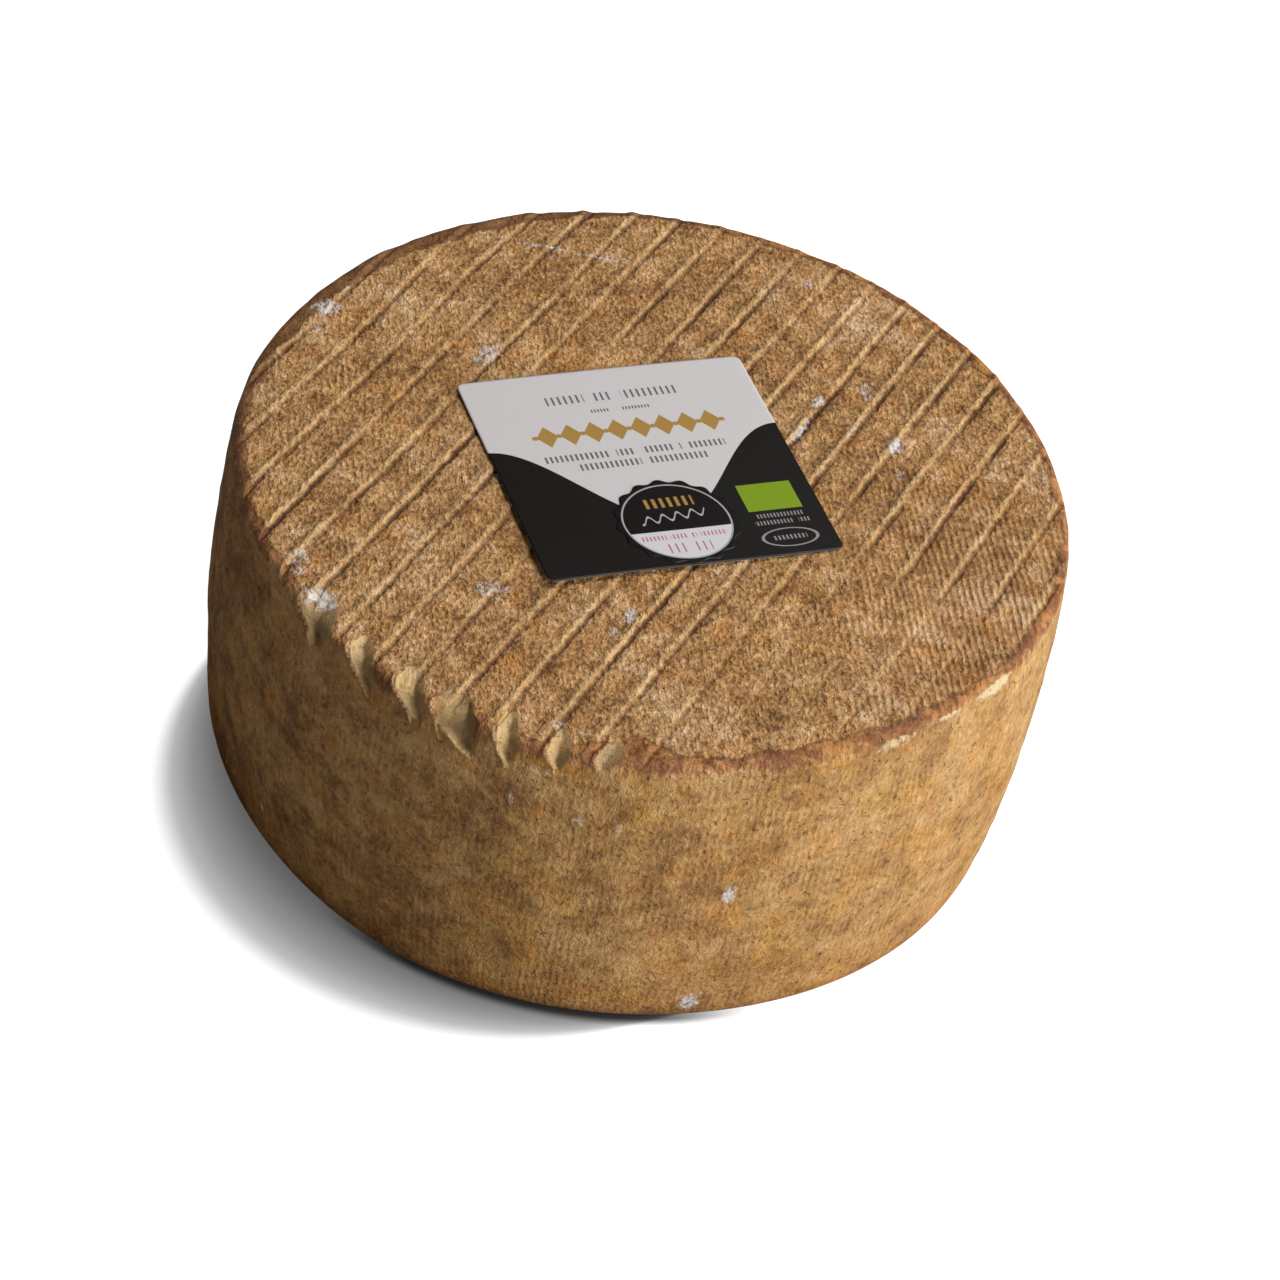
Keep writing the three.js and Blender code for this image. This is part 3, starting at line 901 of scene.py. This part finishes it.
def sealFinish():
    finish = Finish("seal_foil", printing["sealGloss"])
    u, v, _ = finish.parts(finish.node("ShaderNodeUVMap", {"uv_map": "print"}))
    x = (u - 0.5) * (2 * seal["radius"] + 2)
    y = (v - 0.5) * (2 * seal["radius"] + 2)
    # a pale lower part inside a ring, then gold strokes, a sine flourish and two rows of magenta strokes
    away = (x * x + y * y).maths("SQRT")
    paleHalf = (y < -2.9) * (away < 12.9)
    shade = finish.blend(paleHalf, printing["ink"], printing["sealPale"])
    shade = finish.blend(inside(away, 12.75, 13.2), shade, printing["sealRing"])
    gold = wordRow(x, y, 6.9, 3.3, [(-6.7, 6.2)], 1.9, 0.45)
    shade = finish.blend(gold, shade, printing["gold"])
    wave = (x * 1.7).maths("SINE") * 1.2 + x * 0.10 + 1.9
    flourish = inside(y - wave, -0.36, 0.36) * inside(x, -8.6, 7.9)
    shade = finish.blend(flourish, shade, printing["flourish"])
    note = wordRow(x, y, -5.1, 1.6, [(-10.5, -4.5), (-3.5, 0.5), (1.5, 3.0), (4.0, 10.5)], 0.95, 0.42)
    note = note + wordRow(x, y, -9.1, 3.2, [(-5.6, -0.6), (0.6, 5.4)], 1.7, 0.24)
    shade = finish.blend(note * 0.85, shade, printing["magenta"])
    finish.feed({"Base Color": shade})
    return finish.material


# The stage.

stage = {
    "floorWide": 6000.0,
    "floorShade": 0.4,
    "aim": 50.0,             # height the lights point at
    "lights": [              # name, turn, rise, distance, width, power
        ("key", -17, 15, 2200, 1240, 36.5),
        ("second", -45, 32, 2200, 1240, 14.0),
        ("back", 45, 60, 2200, 1200, 30.0),
        ("fill", -140, 30, 2200, 1240, 2.8),
    ],
    "shadowTurn": -131.0,    # the shadow lies this way on the floor, close to the wheel
    "shadowInner": 95.0,     # the floor shows from here, under the rounding of the foot
    "shadowReach": 27.5,
    "shadowFrom": 0.5,       # it starts where the cosine of the angle off its middle is this
    "shadowCore": 0.11,
    # a near-black contact shadow painted along the front of the foot: the way it lies, then its inner and
    # outer radius
    "contactShadowTurn": -93.0,
    "contactShadow": (97.2, 100.2),    # the floor is almost black inside the first, from the second on it is not
    "sky": 0.02,
}

view = {
    "film": 36,              # width of the film
    "focal": 2.62297,        # focal length over the width of the film
    "rise": 42.316,
    "roll": -10.634,
    "far": 854.43,
    "shift": (5.09, 23.0),   # sideways and upwards, in the plane of the film
}


def spotAround(turn, rise, far):
    turn, rise = math.radians(turn), math.radians(rise)
    direction = (math.cos(turn) * math.cos(rise), math.sin(turn) * math.cos(rise), math.sin(rise))
    return Vector(direction) * far * mm


def areaLight(name, place, target, size, power):
    data = bpy.data.lights.new(name, "AREA")
    data.shape = "DISK"
    data.size = size * mm
    data.energy = power
    light = bpy.data.objects.new(name, data)
    light.location = place
    light.rotation_euler = (target - place).to_track_quat("-Z", "Y").to_euler()
    bpy.context.scene.collection.objects.link(light)
    return light


def floorFinish():
    # bright to the camera, apart from a painted soft shadow beside the wheel that widens towards its middle,
    # and a painted near-black contact shadow along the front of the foot
    paint = Finish("floor_white", {"Roughness": 0.7, "Emission Strength": 1.0})
    x, y, _ = paint.parts(paint.place())
    x, y = x - wheel["stand"][0], y - wheel["stand"][1]
    turn = math.radians(stage["shadowTurn"])
    far = (x * x + y * y).maths("SQRT")
    toSide = (x * math.cos(turn) + y * math.sin(turn)) / far
    spread = ((toSide - stage["shadowFrom"]) / (1 - stage["shadowFrom"])).maths("MAXIMUM", 0.0)
    spread = spread.maths("POWER", 1.3)
    share = (far - stage["shadowInner"]) / (spread * stage["shadowReach"] + 1.2)
    level = stage["shadowCore"] + paint.rise(share, 0.0, 0.7) * 0.20 + paint.rise(share, 0.45, 0.85) * 0.17
    level = level + paint.rise(share, 0.68, 1.02) * 0.52
    # the painted contact shadow, near black close to the foot at the front
    front = math.radians(stage["contactShadowTurn"])
    toFront = (x * math.cos(front) + y * math.sin(front)) / far
    contactShadow = (1 - paint.rise(far, *stage["contactShadow"])) * paint.rise(toFront, 0.82, 0.96)
    level = level * (1 - contactShadow * 0.9)
    # only the camera sees the glow, so that it doesn't light the cheese from below
    seen = paint.node("ShaderNodeLightPath", output="Is Camera Ray")
    paint.feed({"Emission Color": level * seen, "Base Color": level * stage["floorShade"]})
    return paint.material


def setStage():
    half = stage["floorWide"] / 2
    corners = np.array([(-half, -half, 0), (half, -half, 0), (half, half, 0), (-half, half, 0)])
    floor = makePiece("floor", corners - [0, 0, 0.02], [(0, 1, 2, 3)])
    floor.data.materials.append(floorFinish())

    middle = Vector((0, 0, stage["aim"] * mm))
    for name, turn, rise, far, width, power in stage["lights"]:
        areaLight(name, spotAround(turn, rise, far), middle, width, power)

    world = bpy.data.worlds.new("studio")
    world.use_nodes = True
    world.node_tree.nodes["Background"].inputs["Color"].default_value = (1, 1, 1, 1)
    world.node_tree.nodes["Background"].inputs["Strength"].default_value = stage["sky"]
    bpy.context.scene.world = world
    bpy.context.scene.view_settings.view_transform = "Standard"


def setCamera():
    # the camera looks back along its own axis at the foot's middle, from a rise, rolled about that axis
    rise = math.radians(view["rise"])
    roll = math.radians(view["roll"])
    back = Vector((0, -math.cos(rise), math.sin(rise)))
    right = Vector((1, 0, 0))
    up = Vector((0, math.sin(rise), math.cos(rise)))
    foot = Vector((*wheel["stand"], 0))
    place = (foot + back * view["far"] + right * view["shift"][0] + up * view["shift"][1]) * mm
    data = bpy.data.cameras.new("camera")
    data.sensor_width = view["film"]
    data.lens = view["film"] * view["focal"]
    camera = bpy.data.objects.new("camera", data)
    turned = right * math.cos(roll) - up * math.sin(roll)
    raised = right * math.sin(roll) + up * math.cos(roll)
    camera.matrix_world = Matrix.Translation(place) @ Matrix((turned, raised, back)).transposed().to_4x4()
    bpy.context.scene.collection.objects.link(camera)
    bpy.context.scene.camera = camera


setCamera()
setStage()
print("stage and camera set")

drum = wheelMesh()
drum.data.materials.append(rindFinish())
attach(drum, "root")
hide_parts("cheese_wheel")
print("drum made:", len(drum.data.vertices), "points")

place = labelPlace()
card = labelMesh(place)
card.data.materials.append(labelFinish())
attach(card, "root")
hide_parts("paper_label")
print("label made")

badge = sealMesh(place)
badge.data.materials.append(sealFinish())
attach(badge, "root")
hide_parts("seal_sticker")
print("seal made")
